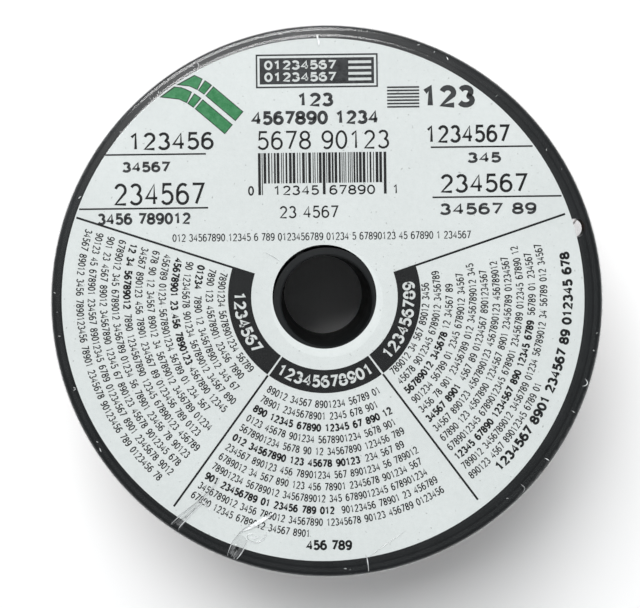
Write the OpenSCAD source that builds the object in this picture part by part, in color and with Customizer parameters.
// A small flanged reel of welding wire in its shrink wrap, lying on its rear flange.
// +Z runs along the arbor bore and out of the labelled face. The origin is the point where the
// bore's axis meets the surface that the reel lies on. Every length is in millimetres.

/* [Reel] */
// Diameter over the flanges
flange_d = 101.6; // [90:0.1:125]
// Width over the outer faces of the two flanges
reel_w = 44.5; // [36:0.5:60]
// Thickness of a flange inside its rim bead
flange_t = 2.6; // [2:0.1:4]
// Extra thickness of the rim bead, on the wire's side
bead_rise = 0.8; // [0.4:0.1:1.6]
// Radial width of the rim bead
bead_w = 5.6; // [5:0.2:9]
// Rounding of the rim's edges
edge_r = 0.8; // [0.3:0.1:1]
// Radial width of the sloping band round the outer face of a flange
slope_w = 2.8; // [2:0.1:4]
// How far that band falls towards the rim
slope_drop = 0.4; // [0.1:0.1:0.6]

/* [Barrel and hub] */
// Outside diameter of the barrel that the wire is wound on
barrel_d = 44; // [38:0.5:54]
// Wall thickness of the barrel
barrel_wall = 2.2; // [1.8:0.1:3]
// Diameter of the arbor bore
bore_d = 16.8; // [14:0.1:20]
// Wall thickness of the arbor tube
tube_wall = 1.45; // [1:0.05:2.2]
// Chamfer at each mouth of the arbor bore
mouth_chamfer = 0.3; // [0.1:0.1:0.8]
// Number of webs between the arbor tube and the barrel
web_count = 6; // [4:2:8]
// Thickness of a web
web_t = 1.6; // [1:0.1:2.4]
// Depth of the webs below the outer face of the flange
web_recess = 1.2; // [0.5:0.1:3]
// How far the webs stop short of the plane where the halves meet
web_gap = 0.2; // [0.1:0.1:0.5]

/* [Joint between the halves] */
// Thickness of the tongue inside the barrel
tongue_t = 1; // [0.7:0.1:1.2]
// Length of the tongue
tongue_len = 3; // [2:0.5:6]
// Diameter of the bosses on every second web
boss_d = 5; // [4.4:0.2:6]
// Diameter of the locating pins
pin_d = 2.6; // [2:0.1:3]
// Length of the locating pins
pin_len = 4; // [3:0.5:6]
// Clearance round a pin and a tongue
join_gap = 0.1; // [0.05:0.05:0.2]

/* [Wire holes] */
// Diameter of the anchor hole in each flange
anchor_d = 3.5; // [2:0.1:4]
// Distance from the rim to the middle of the anchor hole
anchor_inset = 3.1; // [2.8:0.1:3.4]
// Direction of the anchor hole, seen from the front
anchor_angle = 16.4; // [-180:0.1:180]
// Diameter of the hole in the barrel for the inner end of the wire
start_hole_d = 1.8; // [1.4:0.1:2.4]

/* [Wire] */
// Diameter of the wire
wire_d = 0.61; // [0.5:0.01:1]
// Diameter over the outermost layer of wire
wound_d = 66; // [58:0.5:76]
// Share of the reel's width that the outermost layer covers
top_layer_share = 0.62; // [0.3:0.01:0.9]
// Gap between the wire and the moulding that it lies against
wire_gap = 0.15; // [0.05:0.05:0.3]
// Length of the inner end of the wire inside the hub
tail_len = 9; // [4:0.5:14]

/* [Label] */
// Distance from the rim to the edge of the label
label_inset = 2.8; // [2.2:0.1:8]
// How far the edge of the label's hole laps over the end of the arbor tube
label_lap = 0.3; // [-1:0.1:0.6]
// Thickness of the label
label_t = 0.1; // [0.08:0.01:0.3]
// How far the label's rim is stuck off centre
label_shift = [-0.7, 0.28];
// How far the label's hole is off centre
label_hole_shift = [-0.44, 0.81];

/* [Shrink wrap] */
// Thickness of the film
film_t = 0.1; // [0.08:0.01:0.3]
// Gap between the film and what it wraps
film_gap = 0.05; // [0.03:0.01:0.15]
// Distance from the arbor tube to the edge of the film's opening
film_hole_gap = 0.45; // [0.3:0.05:4]
// How far the film is drawn in between the flanges
film_waist = 1.2; // [0.4:0.1:2]

/* [Hidden] */

plastic = [0.13, 0.14, 0.15];
copper = [0.75, 0.45, 0.3];
paper = [0.87, 0.87, 0.86];
clear = [0.85, 0.9, 0.92, 0.25];

round_fn = 96;
small_fn = 32;
overlap = 0.5;

flange_r = flange_d / 2;
barrel_r = barrel_d / 2;
barrel_in_r = barrel_r - barrel_wall;
bore_r = bore_d / 2;
tube_r = bore_r + tube_wall;
bead_r = flange_r - bead_w;
bead_t = flange_t + bead_rise;
half_w = reel_w / 2;
boss_r = (tube_r + barrel_in_r) / 2;
anchor_r = flange_r - anchor_inset;
slope_r = flange_r - slope_w;
label_r = flange_r - label_inset;
label_hole_r = tube_r - label_lap;

rear_z = film_t + film_gap;
front_z = rear_z + reel_w;
label_z = front_z + label_t;
top_z = label_z + film_gap + film_t;
rear_wire_z = rear_z + flange_t + wire_gap;
front_wire_z = front_z - flange_t - wire_gap;

// One layer of wire bedded in the grooves of the layer under it raises the winding by this much.
layer_rise = wire_d * sqrt(3) / 2;
wound_r = wound_d / 2;
step_z = front_wire_z - top_layer_share * (front_wire_z - rear_wire_z);

// ---- Moulded halves ----------------------------------------------------------------------

// Outline of one half: the radius along X, and the depth below its own outer face along Y.
module flange_outline() {
    polygon([
        [barrel_in_r, 0], [slope_r, 0], [flange_r - edge_r, slope_drop], [flange_r - edge_r, bead_t],
        [bead_r, bead_t], [bead_r - bead_rise, flange_t], [barrel_in_r, flange_t]
    ]);
    translate([bead_r, slope_drop + edge_r]) square([bead_w, bead_t - slope_drop - 2 * edge_r]);
    for (y = [slope_drop + edge_r, bead_t - edge_r])
        translate([flange_r - edge_r, y]) circle(r = edge_r, $fn = small_fn);
}

module barrel_outline() {
    translate([barrel_in_r, 0]) square([barrel_wall, half_w]);
}

module tube_outline() {
    polygon([
        [bore_r + mouth_chamfer, 0], [tube_r, 0], [tube_r, half_w], [bore_r, half_w],
        [bore_r, mouth_chamfer]
    ]);
}

module webs() {
    inner_r = tube_r - tube_wall / 2;
    for (i = [0:web_count - 1])
        rotate(i * 360 / web_count)
            translate([inner_r, -web_t / 2, web_recess])
                cube([barrel_in_r + overlap - inner_r, web_t, half_w - web_recess - web_gap]);
}

// Calls its children once for every second web, at the middle of that web.
module at_bosses() {
    for (i = [0:2:web_count - 1])
        rotate(i * 360 / web_count) translate([boss_r, 0, 0]) children();
}

// The shape that both halves share, with its outer face at z = 0 and the hub standing up.
module moulded_half() {
    difference() {
        union() {
            rotate_extrude($fn = round_fn) {
                flange_outline();
                barrel_outline();
                tube_outline();
            }
            webs();
            at_bosses()
                translate([0, 0, web_recess])
                    cylinder(d = boss_d, h = half_w - web_recess, $fn = small_fn);
        }
        rotate(anchor_angle)
            translate([anchor_r, 0, -overlap])
                cylinder(d = anchor_d, h = bead_t + 2 * overlap, $fn = small_fn);
    }
}

module front_half() {
    color(plastic)
        translate([0, 0, front_z]) mirror([0, 0, 1]) {
            moulded_half();
            translate([0, 0, half_w - overlap])
                difference() {
                    cylinder(r = barrel_in_r + tongue_t, h = tongue_len + overlap, $fn = round_fn);
                    translate([0, 0, -overlap])
                        cylinder(r = barrel_in_r, h = tongue_len + 3 * overlap, $fn = round_fn);
                }
            at_bosses()
                translate([0, 0, half_w - overlap])
                    cylinder(d = pin_d, h = pin_len + overlap, $fn = small_fn);
        }
}

module rear_half() {
    color(plastic)
        translate([0, 0, rear_z])
            difference() {
                moulded_half();
                // Seat for the tongue of the front half
                translate([0, 0, half_w - tongue_len - join_gap])
                    difference() {
                        cylinder(
                            r = barrel_in_r + tongue_t + join_gap, h = tongue_len + overlap,
                            $fn = round_fn
                        );
                        translate([0, 0, -overlap])
                            cylinder(
                                r = barrel_in_r - join_gap, h = tongue_len + 3 * overlap,
                                $fn = round_fn
                            );
                    }
                // Sockets for its pins
                at_bosses()
                    translate([0, 0, half_w - pin_len - join_gap])
                        cylinder(d = pin_d + 2 * join_gap, h = pin_len + overlap, $fn = small_fn);
                rotate(start_angle)
                    translate([barrel_in_r - overlap, 0, start_z - rear_z])
                        rotate([0, 90, 0])
                            cylinder(d = start_hole_d, h = barrel_wall + 2 * overlap, $fn = small_fn);
            }
}

// ---- Wire --------------------------------------------------------------------------------

// The wound wire as one solid. Its outermost layer stops short of the rear flange.
module wire_winding() {
    inner_r = barrel_r + wire_gap;
    under_r = wound_r - layer_rise;
    color(copper)
        rotate_extrude($fn = round_fn)
            polygon([
                [inner_r, rear_wire_z], [under_r, rear_wire_z], [under_r, step_z],
                [wound_r, step_z], [wound_r, front_wire_z], [inner_r, front_wire_z]
            ]);
}

// The inner end goes in through the barrel and lies along the inside of it.
start_z = rear_wire_z + start_hole_d / 2;
tail_r = barrel_in_r - wire_gap - wire_d / 2;
tail_bend_r = 2 * wire_d;
// The start hole is midway between two webs.
start_angle = 1.5 * 360 / web_count;

module wire_start_end() {
    bend_x = tail_r + tail_bend_r;
    color(copper)
        rotate(start_angle) {
            translate([bend_x, 0, start_z])
                rotate([0, 90, 0])
                    cylinder(d = wire_d, h = barrel_r + wire_gap / 2 - bend_x, $fn = small_fn);
            translate([bend_x, 0, start_z + tail_bend_r])
                rotate([90, 0, 0])
                    rotate([0, 0, 180]) rotate_extrude(angle = 90, $fn = round_fn)
                        translate([tail_bend_r, 0]) circle(d = wire_d, $fn = small_fn);
            translate([tail_r, 0, start_z + tail_bend_r])
                cylinder(d = wire_d, h = tail_len, $fn = small_fn);
        }
}

// The outer end lies beside the outermost layer's last turn, leaves the winding on a tangent, runs
// straight to the rear anchor hole and bends down into it. Every place on it is
// [point, direction, side], where side is a unit vector at right angles to the direction.
free_r = wound_r - layer_rise + wire_gap + wire_d / 2;
free_z = step_z - wire_gap - wire_d / 2;
free_run = sqrt(pow(anchor_r, 2) - pow(free_r, 2));
leave_angle = anchor_angle - atan2(free_run, free_r);
lap_angle = 40;
lap_steps = 10;
run_steps = 12;
bend_steps = 5;
free_bend_r = 2 * wire_d;
bend_z = rear_z + bead_t + wire_d;
tip_z = rear_z + wire_d;
run_drop = atan2(free_z - bend_z - free_bend_r, free_run - free_bend_r);
free_sides = 8;

function radial(a) = [cos(a), sin(a), 0];
function tangent(a) = [-sin(a), cos(a), 0];
// A place on the run, at a distance from the point where the wire leaves the winding
function run_place(s, z, drop) = [
    free_r * radial(leave_angle) + s * tangent(leave_angle) + [0, 0, z],
    cos(drop) * tangent(leave_angle) - [0, 0, sin(drop)],
    radial(leave_angle)
];

bend_start_s = free_run - free_bend_r * (1 - sin(run_drop));
bend_start_z = bend_z + free_bend_r * cos(run_drop);

free_places = [
    for (i = [0:lap_steps - 1])
        let (a = leave_angle - lap_angle * (1 - i / lap_steps))
            [free_r * radial(a) + [0, 0, free_z], tangent(a), radial(a)],
    for (i = [0:run_steps - 1])
        let (f = i / run_steps)
            run_place(f * bend_start_s, free_z + f * (bend_start_z - free_z), run_drop),
    for (i = [0:bend_steps])
        let (a = run_drop + (90 - run_drop) * i / bend_steps)
            run_place(free_run - free_bend_r * (1 - sin(a)), bend_z + free_bend_r * cos(a), a),
    run_place(free_run, tip_z, 90)
];

// A round tube along a list of places
module swept_wire(places, d, sides) {
    count = len(places);
    ring_points = [
        for (p = places, k = [0:sides - 1])
            let (a = k * 360 / sides, v = cross(p[1], p[2]))
                p[0] + d / 2 * (cos(a) * p[2] + sin(a) * v)
    ];
    walls = [
        for (i = [0:count - 2], k = [0:sides - 1])
            let (n = (k + 1) % sides)
                [i * sides + k, (i + 1) * sides + k, (i + 1) * sides + n, i * sides + n]
    ];
    start_cap = [[for (k = [0:sides - 1]) k]];
    end_cap = [[for (k = [0:sides - 1]) count * sides - 1 - k]];
    polyhedron(points = ring_points, faces = concat(start_cap, walls, end_cap));
}

module wire_free_end() {
    color(copper) swept_wire(free_places, wire_d, free_sides);
}

// ---- Label and wrap ----------------------------------------------------------------------

module front_label() {
    color(paper)
        translate([0, 0, front_z])
            linear_extrude(label_t)
                difference() {
                    translate(label_shift) circle(r = label_r, $fn = round_fn);
                    translate(label_hole_shift) circle(r = label_hole_r, $fn = round_fn);
                }
}

// Points on an arc round c, from angle a to angle b
function arc(c, r, a, b) = [
    for (i = [0:arc_steps]) let (t = a + (b - a) * i / arc_steps) c + r * [cos(t), sin(t)]
];

// The film's outer surface, from its rear opening to its front one, moved inwards by inset. It
// follows the flanges' sloping bands and is drawn in between the rims along an arc.
arc_steps = 12;
flat_r = max(slope_r, label_r + norm(label_shift) + film_gap);
corner_x = flange_r - edge_r;
corner_z = slope_drop + edge_r;
half_chord = half_w - bead_t;
waist_r = (pow(half_chord, 2) + pow(film_waist, 2)) / (2 * film_waist);
waist_x = flange_r + film_gap + film_t - film_waist + waist_r;
waist_z = rear_z + half_w;

function wrap_line(inset) =
    let (
        corner = edge_r + film_gap + film_t - inset,
        arc_r = waist_r + inset,
        turn = acos((waist_x - corner_x - corner) / arc_r)
    )
    concat(
        [[tube_r + film_hole_gap, inset], [flat_r, inset]],
        arc([corner_x, rear_z + corner_z], corner, -90, 0),
        arc([waist_x, waist_z], arc_r, 180 + turn, 180 - turn),
        arc([corner_x, front_z - corner_z], corner, 0, 90),
        [[flat_r, top_z - inset], [tube_r + film_hole_gap, top_z - inset]]
    );

function reversed(list) = [for (i = [len(list) - 1:-1:0]) list[i]];

module shrink_wrap() {
    color(clear)
        rotate_extrude($fn = round_fn) polygon(concat(wrap_line(0), reversed(wrap_line(film_t))));
}

front_half();
rear_half();
wire_winding();
wire_start_end();
wire_free_end();
front_label();
shrink_wrap();
